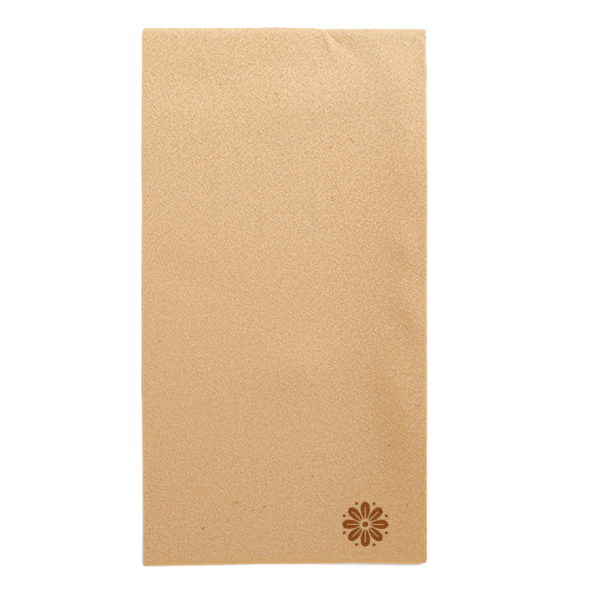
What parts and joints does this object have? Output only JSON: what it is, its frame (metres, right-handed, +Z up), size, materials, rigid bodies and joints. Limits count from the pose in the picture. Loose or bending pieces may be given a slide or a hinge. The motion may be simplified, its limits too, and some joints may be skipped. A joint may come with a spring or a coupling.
{
  "type": "folded paper napkin",
  "caption": "Flat oblong napkin of soft embossed brown paper, a sheet folded into a thin rectangular pack; laid at a place setting and opened out to wipe hands and mouth.",
  "frame": {"origin": "middle of the face the napkin lies on", "axes": "+Z up through the folded layers, +Y along the length from the crosswise fold to the open end, +X across the width from the double fold to the single fold"},
  "size_m": [0.108, 0.203, 0.0054],
  "materials": {
    "kraft_paper": "matt, embossed"
  },
  "bodies": {
    "root": {"napkin": "kraft_paper"}
  },
  "joints": []
}
